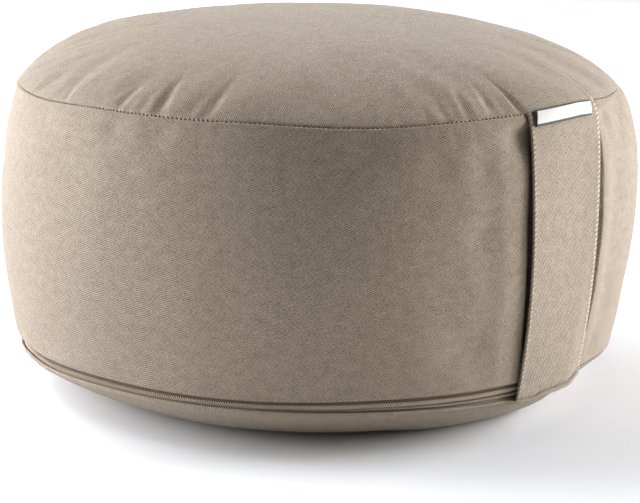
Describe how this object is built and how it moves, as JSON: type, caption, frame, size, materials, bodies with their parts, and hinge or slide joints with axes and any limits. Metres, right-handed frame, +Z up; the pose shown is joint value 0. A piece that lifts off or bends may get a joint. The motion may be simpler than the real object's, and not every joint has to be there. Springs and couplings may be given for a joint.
{
  "type": "zafu meditation cushion",
  "caption": "Round firm floor cushion for seated meditation, with a crowned top, bulging wall, zip along the lower seam and a wide carry strap down one side.",
  "frame": {"origin": "centre of the flat disc under the cushion, on the surface it rests on", "axes": "+Z up through the crown; -Y out through the carry strap; +X to the strap's right as seen from outside"},
  "size_m": [0.3295, 0.3311, 0.1845],
  "materials": {
    "cushion_twill": "matte taupe cotton twill",
    "strap_twill": "matte taupe cotton twill, doubled and folded at its edges",
    "zip_tape_cloth": "close plain weave, taupe",
    "zip_coil_nylon": "satin nylon monofilament, taupe",
    "label_satin": "bare off-white woven satin with a dark edge"
  },
  "bodies": {
    "root": {"cushion": "cushion_twill", "carry_strap": "strap_twill", "zip_tape": "zip_tape_cloth", "zip_coil": "zip_coil_nylon", "label": "label_satin"}
  },
  "joints": []
}
